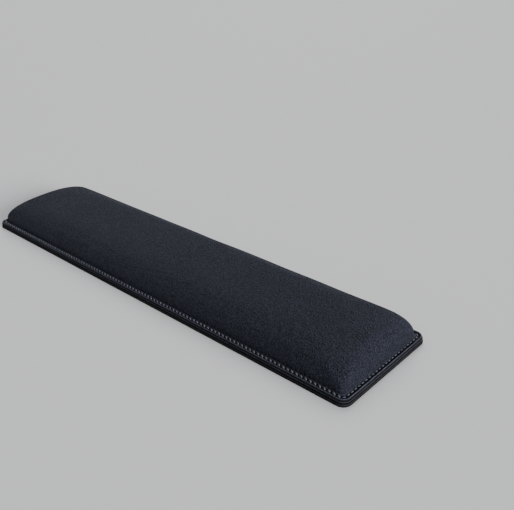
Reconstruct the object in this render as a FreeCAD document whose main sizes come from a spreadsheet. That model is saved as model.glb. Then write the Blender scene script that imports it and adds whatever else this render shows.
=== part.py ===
"""Padded keyboard wrist rest: a domed foam pad under a cloth cover, on an anti-slip rubber sheet.

Millimetres. X runs along the pad, Y away from the person typing, Z up. The origin is the centre
of the underside. Nothing moves: the cover, the lining and the base sheet are held together by one
row of lock stitches that runs all the way round, just outside the foot of the dome.
"""
import FreeCAD, Part
import Sketcher
import math
import os

doc = FreeCAD.newDocument("wrist_rest")
sheet = doc.addObject("Spreadsheet::Sheet", "sizes")
sheet_row = 0


def size(alias, value, note):
    """Put one driving dimension in the next row of the sheet."""
    global sheet_row
    sheet_row += 1
    sheet.set("A%d" % sheet_row, note)
    sheet.set("B%d" % sheet_row, str(value))
    sheet.setAlias("B%d" % sheet_row, alias)


def read(expression):
    """The present value of an expression of sheet sizes, as a plain number."""
    value = sheet.evalExpression(expression)
    return float(getattr(value, "Value", value))


# The outline that the base sheet gives the whole pad.
size("overall_length", 444.5, "outside length, along X")
size("overall_depth", 101.6, "outside depth, along Y")
size("overall_height", 27, "from the underside to the top of the dome")
size("corner_radius", 7, "plan radius of the base sheet's corners")

# The stack of sheets at the edge, from the bottom up.
size("base_thickness", 3.2, "rubber base sheet")
size("lining_thickness", 1.4, "lining that closes the pad underneath")
size("cloth_thickness", 0.8, "cover cloth, one layer")
size("lining_inset", 0.3, "lining edge, in from the base edge")
size("hem_inset", 1.2, "folded edge of the cover, in from the base edge")
size("hem_width", 2.2, "width of the folded, two-layer edge of the cover")
size("base_edge_round", 0.6, "rounding of the base sheet's edges")
size("lining_edge_round", 0.4, "rounding of the lining's edges")
size("hem_edge_round", 0.55, "rounding of the hem's top edges")

# The dome of foam and the cloth over it.
size("seam_room", 2.2, "flat strip for the stitches, between hem and dome")
size("foot_corner_radius", 3, "plan radius of the dome's foot at its corners")
size("corner_growth", 22, "how much that radius grows towards the top")
size("end_roll", 18, "how far the dome's ends lean in, foot to top")
size("ridge_shift", 6, "ridge line of the dome, behind the middle")
size("ridge_width", 22, "nearly flat band along the ridge")
size("end_fullness", 2.2, "shape power of the ends, 2 is an ellipse")
size("side_fullness", 3.2, "shape power of the front and back")
size("end_flat", 2.75, "half the straight run always left between the corners of an end")
size("foam_clearance", 0.04, "foam core to the inside of the cover")

# The row of lock stitches.
size("stitch_pitch", 4, "from one needle hole to the next")
size("stitch_gap", 0.7, "bare cloth between two stitches")
size("thread_diameter", 0.9, "needle thread and bobbin thread")
size("hole_clearance", 0.05, "needle hole radius over the thread's")
size("channel_width", 1.9, "groove under the base for the bobbin thread")
size("channel_depth", 1.3, "depth of that groove")
doc.recompute()

# Heights and insets worked out from the sheet.
LINING_TOP = "(sizes.base_thickness + sizes.lining_thickness)"
SEAM_TOP = "(%s + sizes.cloth_thickness)" % LINING_TOP
HEM_TOP = "(%s + sizes.cloth_thickness)" % SEAM_TOP
HEM_INNER = "(sizes.hem_inset + sizes.hem_width)"
DOME_INSET = "(%s + sizes.seam_room)" % HEM_INNER
STITCH_INSET = "(%s + sizes.seam_room / 2)" % HEM_INNER
FOAM_INSET = "(%s + sizes.cloth_thickness)" % DOME_INSET
DOME_LEVELS = 7
TOP_LEVEL_ANGLE = 78
LEVEL_SLACK = 1e-4
BAND_SLACK = 0.1


def corner_at(inset):
    """Plan radius of a line that runs parallel to the outer edge, this far inside it."""
    return "max(sizes.corner_radius - %s; sizes.foot_corner_radius)" % inset


def rounded_rectangle(sketch, half_length, front, back, radius):
    """Draw a rounded rectangle about the origin, each side's distance bound to the sheet."""
    right = read(half_length)
    front_y = -read(front)
    back_y = read(back)
    bend = read(radius)
    turn = math.pi / 2
    normal = FreeCAD.Vector(0, 0, 1)
    corners = (
        (right - bend, back_y - bend, 0),
        (bend - right, back_y - bend, turn),
        (bend - right, front_y + bend, 2 * turn),
        (right - bend, front_y + bend, 3 * turn),
    )
    arcs = []
    for x, y, start in corners:
        circle = Part.Circle(FreeCAD.Vector(x, y, 0), normal, bend)
        arcs.append(sketch.addGeometry(Part.ArcOfCircle(circle, start, start + turn), False))
    sides = []
    for here, after in zip(arcs, arcs[1:] + arcs[:1]):
        line = Part.LineSegment(sketch.Geometry[here].EndPoint, sketch.Geometry[after].StartPoint)
        sides.append(sketch.addGeometry(line, False))
    rules = []
    for index, side in enumerate(sides):
        after = arcs[(index + 1) % len(arcs)]
        rules.append(Sketcher.Constraint("Tangent", arcs[index], 2, side, 1))
        rules.append(Sketcher.Constraint("Tangent", side, 2, after, 1))
        rules.append(Sketcher.Constraint("Horizontal" if index % 2 == 0 else "Vertical", side))
    for arc in arcs[1:]:
        rules.append(Sketcher.Constraint("Equal", arcs[0], arc))
    sketch.addConstraint(rules)
    back_side, left_side, front_side, right_side = sides
    bound = (
        (Sketcher.Constraint("Radius", arcs[0], bend), radius),
        (Sketcher.Constraint("DistanceX", -1, 1, right_side, 1, right), half_length),
        (Sketcher.Constraint("DistanceX", left_side, 1, -1, 1, right), half_length),
        (Sketcher.Constraint("DistanceY", -1, 1, back_side, 1, back_y), back),
        (Sketcher.Constraint("DistanceY", front_side, 1, -1, 1, -front_y), front),
    )
    for rule, expression in bound:
        number = sketch.addConstraint(rule)
        sketch.setExpression("Constraints[%d]" % number, expression)


def plan_sketch(body, name, height):
    """A level sketch of this body at a height above its XY plane."""
    sketch = body.newObject("Sketcher::SketchObject", name)
    plane = [item for item in body.Origin.OriginFeatures if item.Role == "XY_Plane"][0]
    sketch.AttachmentSupport = [(plane, "")]
    sketch.MapMode = "FlatFace"
    sketch.setExpression("AttachmentOffset.Base.z", height)
    return sketch


def edge_outline(sketch, inset):
    """Add the pad's outline, moved in by an inset, to a sketch."""
    half_length = "sizes.overall_length / 2 - %s" % inset
    half_depth = "sizes.overall_depth / 2 - %s" % inset
    rounded_rectangle(sketch, half_length, half_depth, half_depth, corner_at(inset))


def pad(body, name, sketch, length):
    """Raise a sketch upwards by a sheet length."""
    feature = body.newObject("PartDesign::Pad", name)
    feature.Profile = sketch
    feature.setExpression("Length", length)
    return feature


def dome_sketches(body, name, foot_inset, foot_height, top_height):
    """Level outlines of the dome, from its foot to its top, each leaning further in."""
    sketches = []
    for level in range(DOME_LEVELS):
        angle = TOP_LEVEL_ANGLE * level / (DOME_LEVELS - 1)
        rise = "(sin(%g) / sin(%g))" % (angle, TOP_LEVEL_ANGLE)
        lean_end = "(1 - (1 - sin(%g) ^ sizes.end_fullness) ^ (1 / sizes.end_fullness))" % angle
        lean_side = "(1 - (1 - %s ^ sizes.side_fullness) ^ (1 / sizes.side_fullness))" % rise
        middle = "(sizes.overall_depth / 2 - %s)" % foot_inset
        front_run = "(%s + sizes.ridge_shift - sizes.ridge_width / 2)" % middle
        back_run = "(%s - sizes.ridge_shift - sizes.ridge_width / 2)" % middle
        half_length = "sizes.overall_length / 2 - %s - sizes.end_roll * %s" % (foot_inset, lean_end)
        front = "%s - %s * %s" % (middle, front_run, lean_side)
        back = "%s - %s * %s" % (middle, back_run, lean_side)
        widest_corner = "((%s + %s) / 2 - sizes.end_flat)" % (front, back)
        radius = "min(sizes.foot_corner_radius + sizes.corner_growth * %s; %s)" % (rise, widest_corner)
        height = "%s + (%s - %s) * %s" % (foot_height, top_height, foot_height, rise)
        sketch = plan_sketch(body, "%s_level_%d" % (name, level), height)
        rounded_rectangle(sketch, half_length, front, back, radius)
        sketches.append(sketch)
    return sketches


def loft(body, kind, name, sketches):
    """A smooth skin through the dome's outlines, added or cut away."""
    feature = body.newObject("PartDesign::" + kind, name)
    feature.Profile = sketches[0]
    feature.Sections = sketches[1:]
    feature.Ruled = False
    feature.Closed = False
    return feature


def edges_at(shape, heights, half_length_range):
    """Names of the edges that lie level at one of the heights and inside a band of the plan."""
    low, high = half_length_range
    names = []
    for number, edge in enumerate(shape.Edges, 1):
        box = edge.BoundBox
        level = box.ZMax - box.ZMin < LEVEL_SLACK
        at_height = any(abs(box.ZMin - height) < LEVEL_SLACK for height in heights)
        reach_x = read("sizes.overall_length / 2") - max(abs(box.XMin), abs(box.XMax))
        reach_y = read("sizes.overall_depth / 2") - max(abs(box.YMin), abs(box.YMax))
        inset = min(reach_x, reach_y)
        if level and at_height and low < inset < high:
            names.append("Edge%d" % number)
    return names


def round_edges(body, name, base, heights, band, radius):
    """Fillet the level edges of the body that lie in a band of the plan."""
    feature = body.newObject("PartDesign::Fillet", name)
    feature.Base = (base, edges_at(base.Shape, heights, band))
    feature.setExpression("Radius", radius)
    return feature


def stitch_places():
    """Middle and direction of every stitch, evenly spaced round the stitch line."""
    half_x = read("sizes.overall_length / 2 - %s" % STITCH_INSET)
    half_y = read("sizes.overall_depth / 2 - %s" % STITCH_INSET)
    bend = read(corner_at(STITCH_INSET))
    corners = (
        (half_x - bend, half_y - bend, 0),
        (bend - half_x, half_y - bend, 90),
        (bend - half_x, bend - half_y, 180),
        (half_x - bend, bend - half_y, 270),
    )
    edges = []
    start = FreeCAD.Vector(half_x, bend - half_y, 0)
    for x, y, angle in corners:
        centre = FreeCAD.Vector(x, y, 0)
        arc = Part.makeCircle(bend, centre, FreeCAD.Vector(0, 0, 1), angle, angle + 90)
        edges.append(Part.makeLine(start, arc.Vertexes[0].Point))
        edges.append(arc)
        start = arc.Vertexes[-1].Point
    length = sum(edge.Length for edge in edges)
    count = round(length / read("sizes.stitch_pitch"))
    places = []
    for number in range(count):
        along = length * (number + 0.5) / count
        for edge in edges:
            if along <= edge.Length:
                break
            along -= edge.Length
        parameter = edge.getParameterByLength(along)
        direction = edge.tangentAt(parameter)
        angle = math.degrees(math.atan2(direction.y, direction.x))
        places.append((edge.valueAt(parameter), angle))
    return places


def at_every_stitch(shape):
    """Copies of a shape, one at each stitch, turned to run with the stitch line."""
    copies = []
    for point, angle in stitch_places():
        copy = shape.copy()
        copy.Placement = FreeCAD.Placement(point, FreeCAD.Rotation(FreeCAD.Vector(0, 0, 1), angle))
        copies.append(copy)
    return Part.makeCompound(copies)


def stitch(surface, outward, lock):
    """One stitch: a half-round float lying on a surface, and its leg down to the lock point."""
    radius = read("sizes.thread_diameter / 2")
    length = read("sizes.stitch_pitch - sizes.stitch_gap")
    start = FreeCAD.Vector(-length / 2, 0, surface)
    along = FreeCAD.Vector(1, 0, 0)
    float_rod = Part.makeCylinder(radius, length, start, along)
    corner_z = surface if outward > 0 else surface - 2 * radius
    keep = Part.makeBox(length, 2 * radius, 2 * radius, FreeCAD.Vector(-length / 2, -radius, corner_z))
    leg_foot = FreeCAD.Vector(radius - length / 2, 0, min(surface, lock))
    leg = Part.makeCylinder(radius, abs(surface - lock), leg_foot)
    return float_rod.common(keep).fuse(leg).removeSplitter()


def needle_holes():
    """Round tools for the needle holes, through every sheet of the edge."""
    radius = read("sizes.thread_diameter / 2")
    shift = radius - read("sizes.stitch_pitch - sizes.stitch_gap") / 2
    foot = FreeCAD.Vector(shift, 0, 0)
    hole = Part.makeCylinder(radius + read("sizes.hole_clearance"), read(HEM_TOP), foot)
    return at_every_stitch(hole)


def new_body(name):
    """An empty body for one piece before its needle holes."""
    body = doc.addObject("PartDesign::Body", name)
    body.Label = name
    return body


def pierced(name, body):
    """The finished sheet: the body with the needle holes taken out."""
    cut = doc.addObject("Part::Cut", name)
    cut.Base = body
    cut.Tool = holes
    cut.Label = name
    return cut


holes = doc.addObject("Part::Feature", "needle_holes")
holes.Shape = needle_holes()


def make_base_sheet():
    """Rubber sheet with a groove underneath that keeps the bobbin thread off the desk."""
    body = new_body("base_blank")
    outline = plan_sketch(body, "base_outline", "0")
    edge_outline(outline, "0")
    slab = pad(body, "base_slab", outline, "sizes.base_thickness")
    doc.recompute()
    heights = (0, read("sizes.base_thickness"))
    band = (-BAND_SLACK, BAND_SLACK)
    rounded = round_edges(body, "base_rounding", slab, heights, band, "sizes.base_edge_round")
    channel = plan_sketch(body, "channel_outline", "0")
    edge_outline(channel, "(%s - sizes.channel_width / 2)" % STITCH_INSET)
    edge_outline(channel, "(%s + sizes.channel_width / 2)" % STITCH_INSET)
    groove = body.newObject("PartDesign::Pocket", "bobbin_channel")
    groove.Profile = channel
    groove.Reversed = True
    groove.setExpression("Length", "sizes.channel_depth")
    doc.recompute()
    if groove.Shape.Volume >= rounded.Shape.Volume:
        raise ValueError("the bobbin channel cut nothing")
    return pierced("base_sheet", body)


def make_lining_sheet():
    """Thin lining that the foam lies on; its edge shows between the base and the hem."""
    body = new_body("lining_blank")
    outline = plan_sketch(body, "lining_outline", "sizes.base_thickness")
    edge_outline(outline, "sizes.lining_inset")
    slab = pad(body, "lining_slab", outline, "sizes.lining_thickness")
    doc.recompute()
    heights = (read("sizes.base_thickness"), read(LINING_TOP))
    band = (0, read(HEM_INNER))
    round_edges(body, "lining_rounding", slab, heights, band, "sizes.lining_edge_round")
    return pierced("lining_sheet", body)


def make_foam_core():
    """The dome of foam that carries the wrists."""
    body = new_body("foam_core")
    inset = "(%s + sizes.foam_clearance)" % FOAM_INSET
    top = "(sizes.overall_height - sizes.cloth_thickness - sizes.foam_clearance)"
    sketches = dome_sketches(body, "foam", inset, LINING_TOP, top)
    loft(body, "AdditiveLoft", "foam_dome", sketches)
    return body


def make_top_cover():
    """Cloth shell over the foam, with a flat strip for the stitches and a folded hem."""
    body = new_body("cover_blank")
    outline = plan_sketch(body, "strip_outline", LINING_TOP)
    edge_outline(outline, "sizes.hem_inset")
    pad(body, "seam_strip", outline, "sizes.cloth_thickness")
    fold = plan_sketch(body, "fold_outline", SEAM_TOP)
    edge_outline(fold, "sizes.hem_inset")
    edge_outline(fold, HEM_INNER)
    folded = pad(body, "folded_hem", fold, "sizes.cloth_thickness")
    doc.recompute()
    band = (0, read(HEM_INNER) + BAND_SLACK)
    round_edges(body, "hem_rounding", folded, (read(HEM_TOP),), band, "sizes.hem_edge_round")
    outer = dome_sketches(body, "outer", DOME_INSET, SEAM_TOP, "sizes.overall_height")
    loft(body, "AdditiveLoft", "cover_dome", outer)
    inner_top = "(sizes.overall_height - sizes.cloth_thickness)"
    inner = dome_sketches(body, "inner", FOAM_INSET, LINING_TOP, inner_top)
    loft(body, "SubtractiveLoft", "foam_space", inner)
    return pierced("top_cover", body)


def make_thread(name, surface, outward):
    """All the stitches of one thread, each a solid of its own."""
    lock = read("sizes.base_thickness")
    row = doc.addObject("Part::Feature", name)
    row.Shape = at_every_stitch(stitch(surface, outward, lock))
    row.Label = name
    return row


sub_parts = [
    make_base_sheet(),
    make_lining_sheet(),
    make_foam_core(),
    make_top_cover(),
    make_thread("needle_thread", read(SEAM_TOP), 1),
    make_thread("bobbin_thread", read("sizes.channel_depth"), -1),
]
doc.recompute()

for item in doc.Objects:
    if "Invalid" in item.State or "Error" in item.State:
        raise ValueError("%s failed to build" % item.Label)
for part in sub_parts:
    if part.Shape.isNull() or not part.Shape.isValid():
        raise ValueError("%s has no valid shape" % part.Label)

os.makedirs("parts", exist_ok=True)
for part in sub_parts:
    part.Shape.exportStep(os.path.join("parts", part.Label + ".step"))
    box = part.Shape.BoundBox
    print("%-14s %4d solids  %11.1f mm3  x %.2f..%.2f  y %.2f..%.2f  z %.2f..%.2f" % (
        part.Label, len(part.Shape.Solids), part.Shape.Volume,
        box.XMin, box.XMax, box.YMin, box.YMax, box.ZMin, box.ZMax))
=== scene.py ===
import bmesh
import bpy
import math
import numpy as np
from mathutils import Matrix, Vector
from mathutils.kdtree import KDTree


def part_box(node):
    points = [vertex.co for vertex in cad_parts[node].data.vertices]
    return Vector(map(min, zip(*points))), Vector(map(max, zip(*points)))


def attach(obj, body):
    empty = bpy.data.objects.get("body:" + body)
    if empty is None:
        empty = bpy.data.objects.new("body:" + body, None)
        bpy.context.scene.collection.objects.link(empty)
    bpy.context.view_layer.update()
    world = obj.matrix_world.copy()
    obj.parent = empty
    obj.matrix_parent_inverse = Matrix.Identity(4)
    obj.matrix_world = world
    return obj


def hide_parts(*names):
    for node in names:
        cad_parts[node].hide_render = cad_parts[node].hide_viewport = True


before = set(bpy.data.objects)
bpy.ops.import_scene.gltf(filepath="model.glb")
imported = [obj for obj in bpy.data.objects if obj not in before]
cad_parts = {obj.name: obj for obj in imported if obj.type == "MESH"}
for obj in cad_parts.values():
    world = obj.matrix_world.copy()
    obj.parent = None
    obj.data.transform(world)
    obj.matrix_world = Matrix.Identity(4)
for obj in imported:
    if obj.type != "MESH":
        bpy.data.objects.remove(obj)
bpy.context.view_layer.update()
MM = 0.001


# ---- Base sheet -------------------------------------------------------------------------------
# A die-cut sheet of black anti-slip rubber, the widest layer of the pad. It lies on the desk, and
# the rest is glued and sewn on top. A groove near its edge keeps the lower thread off the desk.
base_low, base_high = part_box("base_sheet")
pad_half_length = base_high.x
pad_half_depth = base_high.y
outer_corner = 7 * MM
tightest_corner = 3 * MM
stitch_inset = 4.5 * MM
stitch_pitch = 4 * MM


def corner_bend(inset):
    """Plan radius of a line that runs round the pad this far inside its outer edge."""
    return max(outer_corner - inset, tightest_corner)


def outline_lengths(inset):
    """Lengths of that line's eight stretches: side, corner and so on, from the right side."""
    bend = corner_bend(inset)
    end = 2 * (pad_half_depth - inset - bend)
    side = 2 * (pad_half_length - inset - bend)
    corner = bend * math.pi / 2
    return np.array([end, corner, side, corner] * 2)


def even_places(inset, count, start=0.0):
    """Evenly spaced places round the pad: each its stretch's number plus the share of it passed."""
    lengths = outline_lengths(inset)
    passed = np.concatenate([[0], np.cumsum(lengths)])
    along = (np.arange(count) + start) * passed[-1] / count
    stretch = np.clip(np.searchsorted(passed, along, side="right") - 1, 0, len(lengths) - 1)
    return stretch + (along - passed[stretch]) / lengths[stretch]


def outline(inset, places):
    """Plan points and outward directions at those places, this far inside the outer edge."""
    bend = corner_bend(inset)
    reach = np.array([pad_half_length - inset - bend, pad_half_depth - inset - bend])
    stretch = np.floor(places).astype(int)
    share = places - stretch
    quarter = stretch // 2
    on_corner = stretch % 2 == 1
    angle = (quarter + np.where(on_corner, share, 0)) * math.pi / 2
    outward = np.stack([np.cos(angle), np.sin(angle)], axis=-1)
    corner_signs = np.array([[1, 1], [-1, 1], [-1, -1], [1, -1]])
    passed = np.where(on_corner, 1, share)[:, None]
    centre = reach * (corner_signs[quarter - 1] * (1 - passed) + corner_signs[quarter] * passed)
    return centre + bend * outward, outward


stitch_count = round(outline_lengths(stitch_inset).sum() / stitch_pitch)


def slow_waves(places, seed, size, waves=5):
    """A gentle unevenness round the pad: a few sine waves of mixed lengths, the same every run."""
    draw = np.random.default_rng(seed)
    turn = places / 8 * 2 * math.pi
    fewest_turns, most_turns = 7, 60
    total = np.zeros_like(turn)
    for _ in range(waves):
        strength = draw.uniform(0.4, 1)
        wave_turns = draw.integers(fewest_turns, most_turns)
        total += strength * np.sin(wave_turns * turn + draw.uniform(0, 2 * math.pi))
    return size * total / waves


def edge_rows(profile, places):
    """Rings of points for a profile of (inset, height) millimetres, carried round the pad."""
    rows = []
    for inset, height in profile:
        plan = outline(inset * MM, places)[0]
        rows.append(np.column_stack([plan, np.full(len(places), height * MM)]))
    return rows


def band(name, rows, join_ends=False, cap_first=False, cap_last=False):
    """A piece made of rings, each joined to the next; its first and last ring can be filled in."""
    count = len(rows[0])
    here = np.arange(count)
    after = (here + 1) % count
    faces = []
    for number in range(len(rows) if join_ends else len(rows) - 1):
        low = number * count
        high = (number + 1) % len(rows) * count
        faces += np.stack([low + here, low + after, high + after, high + here], axis=-1).tolist()
    if cap_first:
        faces.append(here[::-1].tolist())
    if cap_last:
        faces.append((here + (len(rows) - 1) * count).tolist())
    return piece(name, np.concatenate(rows), faces)


def piece(name, points, faces):
    """A smooth-shaded mesh object."""
    mesh = bpy.data.meshes.new(name)
    mesh.from_pydata(np.asarray(points).tolist(), [], faces)
    mesh.polygons.foreach_set("use_smooth", [True] * len(mesh.polygons))
    mesh.update()
    made = bpy.data.objects.new(name, mesh)
    bpy.context.collection.objects.link(made)
    return made


def place_in_part(made, node, material):
    """Give the piece its finish and its body, and let it stand for the CAD node."""
    made.data.materials.append(material)
    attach(made, "root")
    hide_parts(node)


def calc(tree, operation, *values):
    """A Math node fed by sockets or plain numbers; returns its output."""
    node = tree.nodes.new("ShaderNodeMath")
    node.operation = operation
    for socket, value in zip(node.inputs, values):
        if isinstance(value, bpy.types.NodeSocket):
            tree.links.new(value, socket)
        else:
            socket.default_value = value
    return node.outputs[0]


def tone(tree, share, dark, light):
    """A colour between two colours, by a share from 0 to 1; the first may be a socket."""
    node = tree.nodes.new("ShaderNodeMix")
    node.data_type = "RGBA"
    if isinstance(dark, bpy.types.NodeSocket):
        tree.links.new(dark, node.inputs["A"])
    else:
        node.inputs["A"].default_value = (*dark, 1)
    node.inputs["B"].default_value = (*light, 1)
    tree.links.new(share, node.inputs["Factor"])
    return node.outputs["Result"]


def noise(tree, where, scale, detail=2, roughness=0.5):
    """A three-dimensional noise of this many cells per metre."""
    node = tree.nodes.new("ShaderNodeTexNoise")
    node.inputs["Scale"].default_value = scale
    node.inputs["Detail"].default_value = detail
    node.inputs["Roughness"].default_value = roughness
    tree.links.new(where, node.inputs["Vector"])
    return node.outputs["Fac"]


def between_0_and_1(tree, value):
    """The value, kept from 0 to 1."""
    return calc(tree, "MINIMUM", calc(tree, "MAXIMUM", value, 0), 1)


def finish_group(name, inputs, outputs):
    """An empty node group with number sockets; returns it with its input and output nodes."""
    group = bpy.data.node_groups.new(name, "ShaderNodeTree")
    for label, value in inputs.items():
        socket = group.interface.new_socket(label, in_out="INPUT", socket_type="NodeSocketFloat")
        socket.default_value = value
    for label in outputs:
        group.interface.new_socket(label, in_out="OUTPUT", socket_type="NodeSocketFloat")
    return group, group.nodes.new("NodeGroupInput"), group.nodes.new("NodeGroupOutput")


def grain_group():
    """Fine random grain: a height for the bump and a tone for the colour."""
    inputs = {"Grain Size": 1 * MM, "Contrast": 1, "Patch Size": 40 * MM}
    group, given, result = finish_group("grain", inputs, ("Height", "Tone"))
    where = group.nodes.new("ShaderNodeTexCoord").outputs["Object"]
    cells = calc(group, "DIVIDE", 1, given.outputs["Grain Size"])
    patches = calc(group, "DIVIDE", 1, given.outputs["Patch Size"])
    fine = noise(group, where, 1, detail=3, roughness=0.6)
    group.links.new(cells, fine.node.inputs["Scale"])
    broad = noise(group, where, 1, detail=2)
    group.links.new(patches, broad.node.inputs["Scale"])
    patch_strength = 0.8
    from_middle = calc(group, "SUBTRACT", fine, 0.5)
    spread = calc(group, "MULTIPLY_ADD", from_middle, given.outputs["Contrast"], 0.5)
    patch_shift = calc(group, "SUBTRACT", broad, 0.5)
    mixed = calc(group, "MULTIPLY_ADD", patch_shift, patch_strength, spread)
    group.links.new(fine, result.inputs["Height"])
    group.links.new(between_0_and_1(group, mixed), result.inputs["Tone"])
    return group


def lint_group():
    """Sparse pale specks of lint and dust, some places dustier: a mask from 0 to 1."""
    spacing_in_specks = 12
    speck_radius = 0.06
    speck_sharpness = 60
    clumps_per_metre = 60
    clump_threshold = 0.52
    group, given, result = finish_group("lint", {"Amount": 0.5, "Speck Size": 0.5 * MM}, ("Mask",))
    where = group.nodes.new("ShaderNodeTexCoord").outputs["Object"]
    specks = group.nodes.new("ShaderNodeTexVoronoi")
    specks.feature = "F1"
    group.links.new(where, specks.inputs["Vector"])
    spacing = calc(group, "MULTIPLY", given.outputs["Speck Size"], spacing_in_specks)
    group.links.new(calc(group, "DIVIDE", 1, spacing), specks.inputs["Scale"])
    near = calc(group, "SUBTRACT", speck_radius, specks.outputs["Distance"])
    dot = between_0_and_1(group, calc(group, "MULTIPLY", near, speck_sharpness))
    clumps = noise(group, where, clumps_per_metre, detail=2)
    dusty = calc(group, "MULTIPLY", dot, calc(group, "GREATER_THAN", clumps, clump_threshold))
    group.links.new(calc(group, "MULTIPLY", dusty, given.outputs["Amount"]), result.inputs["Mask"])
    return group


def ridge_highlight_group():
    """A painted highlight on a ridge round the pad: a paler band, strongest at one height and
    patchy along it.
    """
    patch_size = 2.5 * MM
    patch_gain, patch_loss = 1.6, -0.1
    inputs = {"Ridge Height": 2 * MM, "Half Width": 0.6 * MM, "Amount": 1}
    group, given, result = finish_group("painted_ridge_highlight", inputs, ("Mask",))
    where = group.nodes.new("ShaderNodeTexCoord").outputs["Object"]
    split = group.nodes.new("ShaderNodeSeparateXYZ")
    group.links.new(where, split.inputs[0])
    away = calc(group, "SUBTRACT", split.outputs["Z"], given.outputs["Ridge Height"])
    share = calc(group, "DIVIDE", calc(group, "ABSOLUTE", away), given.outputs["Half Width"])
    fade = calc(group, "SUBTRACT", 1, calc(group, "MULTIPLY", share, share))
    patches = noise(group, where, 1 / patch_size, detail=3)
    patchy = calc(group, "MULTIPLY_ADD", patches, patch_gain, patch_loss)
    on_ridge = calc(group, "MULTIPLY", calc(group, "MAXIMUM", fade, 0), patchy)
    strength = calc(group, "MULTIPLY", on_ridge, given.outputs["Amount"])
    group.links.new(between_0_and_1(group, strength), result.inputs["Mask"])
    return group


grain = grain_group()
lint = lint_group()
# Painted highlight for ridges round the pad: a paler colour band at one height.
ridge_highlight = ridge_highlight_group()


def use(tree, group, **values):
    """Place a finish group in a material with its own values; underscores stand for spaces."""
    node = tree.nodes.new("ShaderNodeGroup")
    node.node_tree = group
    for label, value in values.items():
        node.inputs[label.replace("_", " ")].default_value = value
    return node.outputs


def material_for(name, roughness, colour, height, bump, depth, **fixed):
    """Principled material: roughness, colour and height are functions that take its node tree and
    return a socket, and fixed gives the plain numbers of other sockets."""
    made = bpy.data.materials.new(name)
    made.use_nodes = True
    tree = made.node_tree
    shader = tree.nodes["Principled BSDF"]
    tree.links.new(colour(tree), shader.inputs["Base Color"])
    relief = tree.nodes.new("ShaderNodeBump")
    relief.inputs["Strength"].default_value = bump
    relief.inputs["Distance"].default_value = depth
    tree.links.new(height(tree), relief.inputs["Height"])
    tree.links.new(relief.outputs["Normal"], shader.inputs["Normal"])
    tree.links.new(roughness(tree), shader.inputs["Roughness"])
    for label, value in fixed.items():
        shader.inputs[label.replace("_", " ")].default_value = value
    return made


def rubber_material():
    """Matt black rubber, a little grey with dust in its grain, with a painted highlight along the
    upper part of its cut side.
    """
    grip_pitch = 2.2 * MM
    fine_relief = 0.3

    def colour(tree):
        shade = use(tree, grain, Grain_Size=0.7 * MM, Contrast=1.2, Patch_Size=60 * MM)["Tone"]
        plain = tone(tree, shade, (0.0015, 0.0015, 0.002), (0.007, 0.007, 0.008))
        # Painted highlight: a paler band along the rubber's cut side, about 1.9 mm up.
        edge = use(tree, ridge_highlight, Ridge_Height=1.9 * MM, Half_Width=0.75 * MM, Amount=0.9)["Mask"]
        with_edge_highlight = tone(tree, edge, plain, (0.020, 0.020, 0.023))
        specks = use(tree, lint, Amount=0.5, Speck_Size=0.35 * MM)["Mask"]
        return tone(tree, specks, with_edge_highlight, (0.12, 0.12, 0.13))

    def height(tree):
        where = tree.nodes.new("ShaderNodeTexCoord").outputs["Object"]
        grip = tree.nodes.new("ShaderNodeTexVoronoi")
        grip.feature = "SMOOTH_F1"
        grip.inputs["Scale"].default_value = 1 / grip_pitch
        grip.inputs["Randomness"].default_value = 0.25
        tree.links.new(where, grip.inputs["Vector"])
        fine = use(tree, grain, Grain_Size=0.5 * MM)["Height"]
        return calc(tree, "MULTIPLY_ADD", fine, fine_relief, grip.outputs["Distance"])

    def roughness(tree):
        shade = use(tree, grain, Grain_Size=3 * MM, Contrast=1, Patch_Size=30 * MM)["Tone"]
        return calc(tree, "MULTIPLY_ADD", shade, 0.2, 0.68)

    return material_for(
        "rubber", roughness, colour, height, bump=0.5, depth=0.3 * MM, Specular_IOR_Level=0.1)


base_thickness = base_high.z / MM
channel_inner = 5.45
channel_outer = 3.55
channel_roof = 1.3
points_per_stitch = 4
base_places = even_places(stitch_inset, stitch_count * points_per_stitch)
base_profile = (
    (channel_inner + 3, 0), (channel_inner + 0.25, 0), (channel_inner, 0.2),
    (channel_inner - 0.05, channel_roof), (channel_outer + 0.05, channel_roof),
    (channel_outer, 0.2), (channel_outer - 0.25, 0),
    (0.9, 0), (0.35, 0.05), (0.1, 0.3), (0, 0.8), (0, 1.5), (0.06, base_thickness - 1.2),
    (0.28, base_thickness - 0.8), (0.7, base_thickness - 0.5), (1.4, base_thickness - 0.3),
    (2.6, base_thickness - 0.12), (4, base_thickness), (6, base_thickness),
)
cut_edge_rows = slice(9, 16)
cut_wander = slow_waves(base_places, seed=11, size=0.12 * MM, waves=7)
base_rows = edge_rows(base_profile, base_places)
for row in base_rows[cut_edge_rows]:
    row[:, :2] -= outline(0, base_places)[1] * np.abs(cut_wander)[:, None]
base_piece = band("base_sheet_rubber", base_rows, cap_first=True, cap_last=True)
place_in_part(base_piece, "base_sheet", rubber_material())


# ---- Lining sheet -----------------------------------------------------------------------------
# A thin, close-woven lining under the foam, glued to the rubber and sewn through near its edge. It
# closes the pad underneath, and its cut edge shows as a narrow ridge under the folded hem.
lining_low, lining_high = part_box("lining_sheet")
lining_bottom = lining_low.z / MM
lining_top = lining_high.z / MM
lining_inset = (pad_half_length - lining_high.x) / MM


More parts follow.
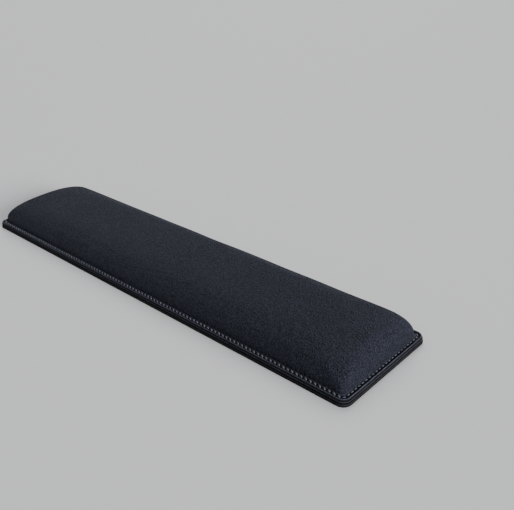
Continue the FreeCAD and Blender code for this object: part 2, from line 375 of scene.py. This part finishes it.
def weave_group():
    """Crossing threads laid on whichever way the surface faces: a height from 0 to 1."""
    drift_size = 4 * MM
    furthest_drift = 6 * MM
    blend_sharpness = 3
    inputs = {"Thread Pitch": 0.9 * MM, "Unevenness": 0.3}
    group, given, result = finish_group("weave", inputs, ("Height",))
    where = group.nodes.new("ShaderNodeTexCoord").outputs["Object"]
    wander = group.nodes.new("ShaderNodeTexNoise")
    wander.inputs["Scale"].default_value = 1 / drift_size
    group.links.new(where, wander.inputs["Vector"])
    position = group.nodes.new("ShaderNodeSeparateXYZ")
    group.links.new(where, position.inputs[0])
    drift = group.nodes.new("ShaderNodeSeparateXYZ")
    group.links.new(wander.outputs["Color"], drift.inputs[0])
    facing = group.nodes.new("ShaderNodeSeparateXYZ")
    group.links.new(group.nodes.new("ShaderNodeNewGeometry").outputs["Normal"], facing.inputs[0])
    frequency = calc(group, "DIVIDE", 2 * math.pi, given.outputs["Thread Pitch"])
    waves = []
    weights = []
    for axis in range(3):
        uneven = calc(group, "MULTIPLY", drift.outputs[axis], given.outputs["Unevenness"])
        shifted = calc(group, "MULTIPLY_ADD", uneven, furthest_drift, position.outputs[axis])
        waves.append(calc(group, "SINE", calc(group, "MULTIPLY", shifted, frequency)))
        facing_share = calc(group, "ABSOLUTE", facing.outputs[axis])
        weights.append(calc(group, "POWER", facing_share, blend_sharpness))
    total = 0
    weight_sum = 0
    for axis in range(3):
        cross = calc(group, "MULTIPLY", waves[axis - 1], waves[axis - 2])
        total = calc(group, "MULTIPLY_ADD", cross, weights[axis], total)
        weight_sum = calc(group, "ADD", weights[axis], weight_sum)
    height = calc(group, "MULTIPLY_ADD", calc(group, "DIVIDE", total, weight_sum), 0.5, 0.5)
    group.links.new(height, result.inputs["Height"])
    return group


def knit_group():
    """Small uneven loops of a brushed knit: a soft height, and a tone that differs by loop."""
    loop_part, fuzz_part, crown_part = 0.5, 2.4, 0.6
    mean_crown = 0.55
    inputs = {"Loop Size": 1.4 * MM, "Contrast": 1.0}
    group, given, result = finish_group("knit", inputs, ("Height", "Tone"))
    where = group.nodes.new("ShaderNodeTexCoord").outputs["Object"]
    loops = group.nodes.new("ShaderNodeTexVoronoi")
    loops.feature = "F1"
    loops.inputs["Randomness"].default_value = 0.9
    group.links.new(where, loops.inputs["Vector"])
    loops_per_metre = calc(group, "DIVIDE", 1, given.outputs["Loop Size"])
    group.links.new(loops_per_metre, loops.inputs["Scale"])
    each = group.nodes.new("ShaderNodeSeparateXYZ")
    group.links.new(loops.outputs["Color"], each.inputs[0])
    crown = calc(group, "SUBTRACT", 1, loops.outputs["Distance"])
    fuzz = noise(group, where, 1, detail=1, roughness=0.5)
    group.links.new(loops_per_metre, fuzz.node.inputs["Scale"])
    total = calc(group, "MULTIPLY", calc(group, "SUBTRACT", each.outputs[0], 0.5), loop_part)
    total = calc(group, "MULTIPLY_ADD", calc(group, "SUBTRACT", fuzz, 0.5), fuzz_part, total)
    above_mean = calc(group, "SUBTRACT", crown, mean_crown)
    total = calc(group, "MULTIPLY_ADD", above_mean, crown_part, total)
    eased = calc(group, "TANH", calc(group, "MULTIPLY", total, given.outputs["Contrast"]))
    spread = calc(group, "MULTIPLY_ADD", eased, 0.5, 0.5)
    group.links.new(fuzz, result.inputs["Height"])
    group.links.new(spread, result.inputs["Tone"])
    return group


weave = weave_group()
knit = knit_group()


def cloth_material(name, dark, light, pitch, loop, contrast, depth, sheen, lint_amount, ridge=None):
    """Black cloth: loops and threads in relief, a tone that differs by loop, soft sheen and lint.

    ridge is the height, half width and colour of a painted highlight along one ridge of it, if it
    has one."""
    thread_tone, loop_tone, patch_tone = 0.15, 0.78, 0.07
    thread_relief, loop_relief = 0.3, 2.6
    lint_colour = (0.12, 0.12, 0.14)

    def colour(tree):
        mottle = use(tree, knit, Loop_Size=loop, Contrast=contrast)["Tone"]
        patches = use(tree, grain, Grain_Size=6 * MM, Contrast=1, Patch_Size=70 * MM)["Tone"]
        threads = use(tree, weave, Thread_Pitch=pitch, Unevenness=0.3)["Height"]
        by_loop = calc(tree, "MULTIPLY", mottle, loop_tone)
        fine = calc(tree, "MULTIPLY_ADD", threads, thread_tone, by_loop)
        share = calc(tree, "MULTIPLY_ADD", patches, patch_tone, fine)
        dye_and_highlight = tone(tree, share, dark, light)
        # The ridge colour is a painted highlight: a paler band at one height along the ridge.
        if ridge:
            middle, half_width, highlight_colour = ridge
            edge = use(tree, ridge_highlight, Ridge_Height=middle * MM, Half_Width=half_width * MM)["Mask"]
            dye_and_highlight = tone(tree, edge, dye_and_highlight, highlight_colour)
        specks = use(tree, lint, Amount=lint_amount, Speck_Size=0.3 * MM)["Mask"]
        return tone(tree, specks, dye_and_highlight, lint_colour)

    def height(tree):
        threads = use(tree, weave, Thread_Pitch=pitch, Unevenness=0.3)["Height"]
        loops = use(tree, knit, Loop_Size=loop, Contrast=contrast)["Height"]
        woven = calc(tree, "MULTIPLY", threads, thread_relief)
        return calc(tree, "MULTIPLY_ADD", loops, loop_relief, woven)

    def roughness(tree):
        mottle = use(tree, grain, Grain_Size=1.5 * MM, Contrast=1.5, Patch_Size=50 * MM)["Tone"]
        return calc(tree, "MULTIPLY_ADD", mottle, 0.2, 0.66)

    return material_for(
        name, roughness, colour, height, bump=1, depth=depth, Specular_IOR_Level=0.2,
        Sheen_Weight=sheen, Sheen_Roughness=0.4, Sheen_Tint=(0.62, 0.68, 1, 1))


lining_profile = (
    (6, lining_bottom), (3.6, lining_bottom + 0.02), (2.2, lining_bottom + 0.12),
    (lining_inset + 1, lining_bottom + 0.28), (lining_inset + 0.35, lining_bottom + 0.38),
    (lining_inset + 0.05, lining_bottom + 0.55), (lining_inset, lining_top - 0.65),
    (lining_inset + 0.15, lining_top - 0.42), (lining_inset + 0.5, lining_top - 0.3),
    (lining_inset + 1.1, lining_top - 0.22), (2.4, lining_top - 0.1),
    (3.6, lining_top - 0.02), (6, lining_top),
)
lining_places = even_places(stitch_inset, stitch_count * points_per_stitch)
lining_rows = edge_rows(lining_profile, lining_places)
lining_wander = slow_waves(lining_places, seed=23, size=0.3 * MM, waves=9)
for row in lining_rows[1:-1]:
    row[:, :2] -= outline(0, lining_places)[1] * np.abs(lining_wander)[:, None]
lining_piece = band("lining_sheet_cloth", lining_rows, cap_first=True, cap_last=True)
# The ridge colour is a painted highlight along the middle of the lining's cut edge.
lining_cloth = cloth_material(
    "lining_cloth", (0.001, 0.001, 0.0015), (0.010, 0.010, 0.013), pitch=0.6 * MM,
    loop=0.8 * MM, contrast=1.0, depth=0.15 * MM, sheen=0.0, lint_amount=0.3,
    ridge=(lining_bottom + 0.8, 0.4, (0.040, 0.042, 0.054)))
place_in_part(lining_piece, "lining_sheet", lining_cloth)


# ---- Foam core --------------------------------------------------------------------------------
# One moulded block of dark grey foam, glued to the lining. It gives the pad its long dome: steep
# at both ends and along the front, fullest a little behind the middle.
foam_low, foam_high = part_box("foam_core")
foam_inset = (pad_half_length - foam_high.x) / MM
foam_top = foam_high.z / MM
foam_rings = 12
foam_ridge_cells = 90
foam_side_room = 1.6
foam_top_room = 2
ridge_shift = 6
end_roll = 18
end_fullness = 2.6
side_fullness = 4.0
late_corner_growth = 30
even_corner_growth = 4


def dome_levels(rings, run, rise):
    """Plan share and height share of each ring, ridge to foot, evenly spaced along the curve."""
    samples = 400
    crowding_at_foot = 1.6

    def height_at(share):
        return (1 - (1 - share) ** side_fullness) ** (1 / side_fullness)

    share = 1 - np.linspace(1, 0, samples) ** crowding_at_foot
    height = height_at(share)
    steps = np.hypot(np.diff(share) * run, np.diff(height) * rise)
    passed = np.concatenate([[0], np.cumsum(steps)])
    wanted = np.linspace(passed[-1], 0, rings + 1)
    share_at = np.interp(wanted, passed, share)
    return share_at, height_at(share_at)


def dome_ring(count_long, count_short, half_x, front_y, back_y, bend):
    """One level ring of the dome, anticlockwise from the middle of its left front corner."""
    half_corner = bend * math.pi / 4
    long_run = 2 * (half_x - bend)
    short_run = back_y - front_y - 2 * bend
    sides = (
        (bend - half_x, front_y + bend, 1.25, count_long, long_run),
        (half_x - bend, front_y + bend, 1.75, count_short, short_run),
        (half_x - bend, back_y - bend, 0.25, count_long, long_run),
        (bend - half_x, back_y - bend, 0.75, count_short, short_run),
    )
    points = []
    for x, y, turn, count, run in sides:
        along = np.arange(count) / count * (2 * half_corner + run)
        on_corners = np.minimum(along, half_corner) + np.maximum(along - half_corner - run, 0)
        straight = np.clip(along - half_corner, 0, run)
        angle = turn * math.pi + on_corners / bend
        facing = (turn + 0.25) * math.pi
        points.append(np.stack([
            x - straight * math.sin(facing) + bend * np.cos(angle),
            y + straight * math.cos(facing) + bend * np.sin(angle)], axis=-1))
    return np.concatenate(points)


def dome(rings, ridge_cells, foot_inset, foot_height, top_height):
    """Points of the dome in millimetres, and each ring's point numbers, from ridge to foot."""
    middle = pad_half_depth / MM - foot_inset
    end = pad_half_length / MM - foot_inset
    rise = top_height - foot_height
    share, height = dome_levels(rings, middle, rise)
    points = np.zeros((0, 3))
    rows = []
    for number in range(rings + 1):
        level = min(height[number], 1)
        lean = 1 - (1 - level ** end_fullness) ** (1 / end_fullness)
        half_x = end - end_roll * lean
        front_y = -middle + (middle + ridge_shift) * share[number]
        back_y = middle - (middle - ridge_shift) * share[number]
        rounder = late_corner_growth * (1 - math.sqrt(1 - level ** 2)) + even_corner_growth * level
        widest_bend = (back_y - front_y) / 2 - 0.001
        bend = min(tightest_corner / MM + rounder, widest_bend)
        if number == 0:
            x = np.linspace(-half_x, half_x, ridge_cells + 1)
            ring = np.stack([x, np.full_like(x, ridge_shift)], axis=-1)
        else:
            ring = dome_ring(ridge_cells + 2 * number, 2 * number, half_x, front_y, back_y, bend)
        rows.append(len(points) + np.arange(len(ring)))
        z = np.full(len(ring), foot_height + rise * level)
        points = np.concatenate([points, np.column_stack([ring, z])])
    return points, rows


def dome_cells(rows, ridge_cells):
    """Square faces between the rings, from the ridge line out to the foot."""
    rings = len(rows) - 1
    wide = ridge_cells + 2 * rings
    grid = np.zeros((wide + 1, 2 * rings + 1), int)
    for number, row in enumerate(rows):
        left = low = rings - number
        right = wide - left
        high = rings + number
        across = right - left
        up = high - low
        if number == 0:
            grid[left:right + 1, rings] = row
            continue
        grid[left:right, low] = row[:across]
        grid[right, low:high] = row[across:across + up]
        grid[right:left:-1, high] = row[across + up:2 * across + up]
        grid[left, high:low:-1] = row[2 * across + up:]
    cells = [grid[:-1, :-1], grid[1:, :-1], grid[1:, 1:], grid[:-1, 1:]]
    return np.stack(cells, axis=-1).reshape(-1, 4).tolist()


def foam_material():
    """Dark grey open-cell foam: small round pores and a dull, even tone."""
    pore_spacing = 0.9 * MM

    def colour(tree):
        shade = use(tree, grain, Grain_Size=2 * MM, Contrast=1, Patch_Size=40 * MM)["Tone"]
        return tone(tree, shade, (0.07, 0.07, 0.075), (0.13, 0.13, 0.135))

    def height(tree):
        where = tree.nodes.new("ShaderNodeTexCoord").outputs["Object"]
        pores = tree.nodes.new("ShaderNodeTexVoronoi")
        pores.inputs["Scale"].default_value = 1 / pore_spacing
        tree.links.new(where, pores.inputs["Vector"])
        return pores.outputs["Distance"]

    def roughness(tree):
        shade = use(tree, grain, Grain_Size=3 * MM, Contrast=1, Patch_Size=30 * MM)["Tone"]
        return calc(tree, "MULTIPLY_ADD", shade, 0.1, 0.85)

    return material_for("open_cell_foam", roughness, colour, height, bump=0.8, depth=0.4 * MM)


foam_foot = lining_top + 0.1
foam_points, foam_rows = dome(
    foam_rings, foam_ridge_cells, foam_inset + foam_side_room, foam_foot, foam_top - foam_top_room)
foam_faces = dome_cells(foam_rows, foam_ridge_cells) + [foam_rows[-1][::-1].tolist()]
foam_piece = piece("foam_core_block", foam_points * MM, foam_faces)
place_in_part(foam_piece, "foam_core", foam_material())


# ---- Top cover --------------------------------------------------------------------------------
# One piece of black fine-knit cloth, stretched over the foam and sewn down all round the foot of
# the dome. The cloth is blown up a little against its seam, as foam under it pushes it out.
cover_low, cover_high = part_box("top_cover")
cloth_thickness = cover_high.z / MM - foam_top
seam_top = lining_top + cloth_thickness
dome_foot_inset = foam_inset - cloth_thickness
cover_rings = 22
cover_ridge_cells = 390
cover_foot = seam_top - 0.3
start_height = 25.6
puff_frames = 20
puff_pressure = 4
puff_limit = 1.2 * MM


def vertex_array(made):
    """All points of a mesh object as an array."""
    points = np.zeros(len(made.data.vertices) * 3)
    made.data.vertices.foreach_get("co", points)
    return points.reshape(-1, 3)


def set_vertices(made, points):
    """Write an array of points back to a mesh object."""
    made.data.vertices.foreach_set("co", np.asarray(points).ravel())
    made.data.update()


def evaluated_mesh(made):
    """The object's mesh with its modifiers worked out."""
    depsgraph = bpy.context.evaluated_depsgraph_get()
    return bpy.data.meshes.new_from_object(made.evaluated_get(depsgraph), depsgraph=depsgraph)


def vertex_normals(made):
    """The surface direction at every point of a mesh object as an array."""
    normals = np.zeros(len(made.data.vertices) * 3)
    made.data.vertices.foreach_get("normal", normals)
    return normals.reshape(-1, 3)


def puff_out(made, held):
    """Blow the cloth up against its held edge: no point sinks into the foam or passes the limit."""
    group = made.vertex_groups.new(name="sewn_down")
    group.add(held, 1.0, "REPLACE")
    start = vertex_array(made)
    cloth = made.modifiers.new("cloth", "CLOTH")
    cloth.settings.vertex_group_mass = "sewn_down"
    cloth.settings.use_pressure = True
    cloth.settings.uniform_pressure_force = puff_pressure
    cloth.settings.effector_weights.gravity = 0
    cloth.settings.tension_stiffness = 40
    cloth.settings.compression_stiffness = 40
    cloth.point_cache.frame_end = puff_frames
    for frame_number in range(1, puff_frames + 1):
        bpy.context.scene.frame_set(frame_number)
    blown = evaluated_mesh(made)
    points = np.zeros(len(blown.vertices) * 3)
    blown.vertices.foreach_get("co", points)
    move = points.reshape(-1, 3) - start
    normals = vertex_normals(made)
    inward = np.minimum((move * normals).sum(axis=1, keepdims=True), 0)
    move -= normals * inward
    far = np.linalg.norm(move, axis=1, keepdims=True)
    made.modifiers.remove(cloth)
    made.vertex_groups.clear()
    set_vertices(made, start + move * np.minimum(1, puff_limit / np.maximum(far, 1e-9)))
    bpy.data.meshes.remove(blown)
    bpy.context.scene.frame_set(1)


def smooth_once(made):
    """Apply one Catmull-Clark subdivision."""
    subdivide = made.modifiers.new("subdivide", "SUBSURF")
    subdivide.levels = 1
    subdivide.render_levels = 1
    subdivide.boundary_smooth = "PRESERVE_CORNERS"
    finer = evaluated_mesh(made)
    made.modifiers.remove(subdivide)
    finer.polygons.foreach_set("use_smooth", [True] * len(finer.polygons))
    coarse = made.data
    made.data = finer
    bpy.data.meshes.remove(coarse)


cover_points, cover_rows = dome(
    cover_rings, cover_ridge_cells, dome_foot_inset, cover_foot, start_height)
cover_piece = piece(
    "top_cover_cloth", cover_points * MM, dome_cells(cover_rows, cover_ridge_cells))
puff_out(cover_piece, cover_rows[-1].tolist())
smooth_once(cover_piece)
points = vertex_array(cover_piece)
foot_z = cover_foot * MM
stretch_up = (cover_high.z - foot_z) / (points[:, 2].max() - foot_z)
points[:, 2] = foot_z + (points[:, 2] - foot_z) * stretch_up


def stitch_phase(points):
    """Distance of each point from the stitch line, and how far round the present stitch it lies."""
    per_stitch = 16
    places = even_places(stitch_inset, stitch_count * per_stitch)
    line = outline(stitch_inset, places)[0]
    tree = KDTree(len(line))
    for number, (x, y) in enumerate(line):
        tree.insert((x, y, seam_top * MM), number)
    tree.balance()
    found = [tree.find(point) for point in points]
    away = np.array([distance for _, _, distance in found])
    round_share = np.array([number for _, number, _ in found]) / per_stitch
    return away, round_share


def seam_pull(points, depth, reach):
    """How far the thread draws the cloth in: deepest at each needle hole, fading with distance."""
    away, round_share = stitch_phase(points)
    return depth * np.exp(-away / reach) * np.cos(2 * math.pi * round_share)


def uneven(points, seed, size, shortest, longest, waves=14):
    """Slow unevenness of a stretched cloth: sine waves across it in mixed directions."""
    draw = np.random.default_rng(seed)
    total = np.zeros(len(points))
    for _ in range(waves):
        length = draw.uniform(shortest, longest)
        direction = draw.uniform(0, 2 * math.pi)
        run = points[:, 0] * math.cos(direction) + points[:, 1] * math.sin(direction)
        total += np.sin(run / length * 2 * math.pi + draw.uniform(0, 2 * math.pi))
    return size * total / math.sqrt(waves)


set_vertices(cover_piece, points)
normals = vertex_normals(cover_piece)
seam_pull_height = 9
most_above_top = 0.3 * MM
near_seam = np.nonzero(points[:, 2] < (seam_top + seam_pull_height) * MM)[0]
swell = np.zeros(len(points))
swell[near_seam] -= seam_pull(points[near_seam], depth=0.28 * MM, reach=2.2 * MM)
height_share = np.clip((points[:, 2] - foot_z) / (cover_high.z - foot_z), 0, 1)
swell += height_share * uneven(
    points, seed=5, size=0.16 * MM, shortest=30 * MM, longest=90 * MM)
points += normals * swell[:, None]
points[:, 2] = np.minimum(points[:, 2], cover_high.z + most_above_top)
set_vertices(cover_piece, points)


def close_underneath(made):
    """Fill the open foot of the dome, where it lies on the lining, with one flat face."""
    work = bmesh.new()
    work.from_mesh(made.data)
    open_edges = [edge for edge in work.edges if edge.is_boundary]
    bmesh.ops.contextual_create(work, geom=open_edges)
    work.to_mesh(made.data)
    work.free()
    made.data.update()


close_underneath(cover_piece)
cover_cloth = cloth_material(
    "cover_cloth", (0.0003, 0.0004, 0.0012), (0.022, 0.026, 0.044), pitch=0.7 * MM,
    loop=1.2 * MM, contrast=2.6, depth=0.75 * MM, sheen=0.04, lint_amount=0.3)
place_in_part(cover_piece, "top_cover", cover_cloth)


# ---- Folded hem -------------------------------------------------------------------------------
# The edge of the same cloth outside the stitches: a narrow valley where the thread pulls it down,
# then the edge folded back under itself into a soft round lip that rests on the lining.
hem_inset = (pad_half_length - cover_high.x) / MM
hem_top = seam_top + cloth_thickness
hem_profile = (
    (dome_foot_inset + 1, seam_top + 0.5), (dome_foot_inset, seam_top + 0.5),
    (5.1, seam_top + 0.4), (4.6, seam_top + 0.1), (4.15, seam_top - 0.25), (3.6, seam_top - 0.55),
    (3.1, seam_top - 0.62), (2.7, seam_top - 0.4), (2.4, seam_top + 0.15), (2.05, hem_top - 0.3),
    (1.7, hem_top - 0.12), (1.3, hem_top - 0.18), (hem_inset - 0.2, hem_top - 0.5),
    (hem_inset - 0.25, hem_top - 0.85), (hem_inset - 0.05, hem_top - 1.15),
    (hem_inset + 0.4, hem_top - 1.35), (hem_inset + 1.1, hem_top - 1.45),
    (3.4, lining_top + 0.04), (dome_foot_inset + 1, lining_top + 0.05),
)
hem_places = even_places(stitch_inset, stitch_count * points_per_stitch)
hem_phase = np.arange(len(hem_places)) / points_per_stitch
hem_rows = edge_rows(hem_profile, hem_places)
hem_outward = outline(hem_inset * MM, hem_places)[1]
lip_wander = slow_waves(hem_places, seed=31, size=0.22 * MM, waves=9)
lip_height = slow_waves(hem_places, seed=37, size=0.16 * MM, waves=8)
needle_pull = 0.16 * MM * np.cos(2 * math.pi * hem_phase)
pull_reach = 1.1
lip_starts = 2.8
for (inset, height), row in zip(hem_profile, hem_rows):
    near_thread = math.exp(-abs(inset - stitch_inset / MM) / pull_reach)
    row[:, 2] -= near_thread * needle_pull * (height > lining_top + 0.1)
    if inset < lip_starts:
        row[:, :2] += hem_outward * lip_wander[:, None]
        row[:, 2] += lip_height * (height - lining_top) / (hem_top - lining_top)
hem_piece = band("top_cover_hem", hem_rows, join_ends=True)
smooth_once(hem_piece)
# The ridge colour is a painted highlight along the crest of the folded lip.
hem_cloth = cloth_material(
    "hem_cloth", (0.001, 0.0015, 0.002), (0.016, 0.018, 0.028), pitch=0.7 * MM,
    loop=1.0 * MM, contrast=1.2, depth=0.2 * MM, sheen=0.02, lint_amount=0.4,
    ridge=(hem_top - 0.2, 0.45, (0.062, 0.066, 0.090)))
place_in_part(hem_piece, "top_cover", hem_cloth)


# ---- Needle thread ----------------------------------------------------------------------------
# Thick black polyester thread in a lock stitch. Each stitch lies on the cloth as a short twisted
# float that dives into a needle hole at both ends and leans a little across the seam.
def thread_material(name, dark, light):
    """Twisted polyester thread, smoother and shinier than the cloth it holds."""
    def colour(tree):
        shade = use(tree, grain, Grain_Size=0.4 * MM, Contrast=1.6, Patch_Size=25 * MM)["Tone"]
        return tone(tree, shade, dark, light)

    def height(tree):
        return use(tree, grain, Grain_Size=0.25 * MM, Contrast=1)["Height"]

    def roughness(tree):
        shade = use(tree, grain, Grain_Size=0.6 * MM, Contrast=1, Patch_Size=20 * MM)["Tone"]
        return calc(tree, "MULTIPLY_ADD", shade, 0.2, 0.38)

    return material_for(
        name, roughness, colour, height, bump=0.35, depth=0.08 * MM,
        Sheen_Weight=0.25, Sheen_Roughness=0.4)


def stitch_row(name, seed, height, side, sink, reach, radius, steps, around, inset):
    """All floats of one thread: side is 1 on top of the cloth and -1 under the rubber."""
    draw = np.random.default_rng(seed)
    middles, outward = outline(inset * MM, even_places(stitch_inset, stitch_count, start=0.5))
    mean_lean, lean_spread = 9, 2.5
    plies = 3
    twist_turns = 1.3
    ply_depth = 0.22
    end_taper = 0.28
    dive_sharpness = 2.6
    flatness = 0.92
    span = np.linspace(-1, 1, steps)
    girth = np.linspace(0, 2 * math.pi, around, endpoint=False)
    points = []
    faces = []
    for number in range(stitch_count):
        normal = np.array([*outward[number], 0])
        along = np.array([-normal[1], normal[0], 0])
        lean = math.radians(draw.normal(mean_lean, lean_spread))
        run = along * math.cos(lean) + normal * math.sin(lean)
        across = normal * math.cos(lean) - along * math.sin(lean)
        half = stitch_pitch * draw.normal(reach, 0.012)
        thick = radius * draw.normal(1, 0.05)
        twist = draw.uniform(0, 2 * math.pi)
        first = len(points) * around
        for share in span:
            dive = sink * abs(share) ** dive_sharpness
            middle = np.array([*middles[number], (height - side * dive) * MM])
            middle = middle + run * half * share
            fat = thick * (1 - end_taper + end_taper * (1 - share ** 4))
            round_plies = plies / 2 * (girth - twist - share * math.pi * twist_turns)
            lobes = 1 - ply_depth + ply_depth * np.abs(np.cos(round_plies))
            sideways = np.outer(np.cos(girth), across)
            upright = np.outer(np.sin(girth) * flatness, (0, 0, 1))
            points.append(middle + fat * MM * (lobes[:, None] * (sideways + upright)))
        here = np.arange(around)
        after = (here + 1) % around
        for step in range(steps - 1):
            low = first + step * around
            high = low + around
            corners = [low + here, low + after, high + after, high + here]
            faces += np.stack(corners, axis=-1).tolist()
        faces.append((first + here[::-1]).tolist())
        faces.append((first + here + (steps - 1) * around).tolist())
    return piece(name, np.concatenate(points), faces)


needle_piece = stitch_row(
    "needle_thread_row", seed=41, height=seam_top + 0.02, side=1, sink=0.85, reach=0.37,
    radius=0.6, steps=16, around=18, inset=4.15)
needle_polyester = thread_material("needle_thread", (0.036, 0.038, 0.053), (0.115, 0.12, 0.155))
place_in_part(needle_piece, "needle_thread", needle_polyester)


# ---- Bobbin thread ----------------------------------------------------------------------------
# The lower, thinner polyester thread of the same stitch. It lies in the groove under the rubber
# sheet, so that the pad stands on rubber only.
bobbin_piece = stitch_row(
    "bobbin_thread_row", seed=43, height=channel_roof - 0.15, side=-1, sink=0.4, reach=0.45,
    radius=0.42, steps=8, around=9, inset=4.5)
bobbin_polyester = thread_material("bobbin_thread", (0.020, 0.021, 0.028), (0.060, 0.062, 0.075))
place_in_part(bobbin_piece, "bobbin_thread", bobbin_polyester)


# ---- Studio -----------------------------------------------------------------------------------
# A plain pale floor, soft light from two wide lamps, and a camera above the right end of the pad.
floor_half = 40.0
floor = piece("floor", [(-floor_half, -floor_half, 0), (floor_half, -floor_half, 0),
                        (floor_half, floor_half, 0), (-floor_half, floor_half, 0)], [[0, 1, 2, 3]])
floor_paint = bpy.data.materials.new("pale_floor")
floor_paint.use_nodes = True
floor_shader = floor_paint.node_tree.nodes["Principled BSDF"]
floor_shader.inputs["Base Color"].default_value = (0.74, 0.74, 0.75, 1)
floor_shader.inputs["Roughness"].default_value = 0.75
floor.data.materials.append(floor_paint)

world = bpy.data.worlds.new("studio")
bpy.context.scene.world = world
world.use_nodes = True
sky = world.node_tree.nodes["Background"]
sky.inputs["Color"].default_value = (0.90, 0.92, 0.95, 1)
sky.inputs["Strength"].default_value = 0.36


def soft_light(name, heading, height, spread, strength):
    """A distant soft light: heading is where it stands, anticlockwise from the right of the pad."""
    lamp = bpy.data.lights.new(name, "SUN")
    lamp.angle = math.radians(spread)
    lamp.energy = strength
    turn = math.radians(heading)
    rise = math.radians(height)
    level_reach = math.cos(rise)
    towards = Vector((
        math.cos(turn) * level_reach, math.sin(turn) * level_reach, math.sin(rise)))
    made = bpy.data.objects.new(name, lamp)
    made.rotation_euler = towards.to_track_quat("Z", "Y").to_euler()
    bpy.context.collection.objects.link(made)


soft_light("key_light", heading=128, height=42, spread=30, strength=1.15)
soft_light("end_light", heading=-5, height=15, spread=20, strength=5.4)

camera_place = Vector((0.41600, -0.32966, 0.29396))
camera_heading = math.radians(43.742)
camera_tilt = math.radians(27.879)
camera_roll = math.radians(-2.302)
back = Vector((
    math.sin(camera_heading) * math.cos(camera_tilt),
    -math.cos(camera_heading) * math.cos(camera_tilt),
    math.sin(camera_tilt)))
level_right = Vector((0, 0, 1)).cross(back).normalized()
level_up = back.cross(level_right)
camera_right = level_right * math.cos(camera_roll) + level_up * math.sin(camera_roll)
camera_up = level_up * math.cos(camera_roll) - level_right * math.sin(camera_roll)
lens = bpy.data.cameras.new("camera")
lens.sensor_width = 36
lens.lens = 47.101
camera = bpy.data.objects.new("camera", lens)
turned = Matrix((camera_right, camera_up, back)).transposed()
camera.matrix_world = Matrix.Translation(camera_place) @ turned.to_4x4()
bpy.context.collection.objects.link(camera)
bpy.context.scene.camera = camera
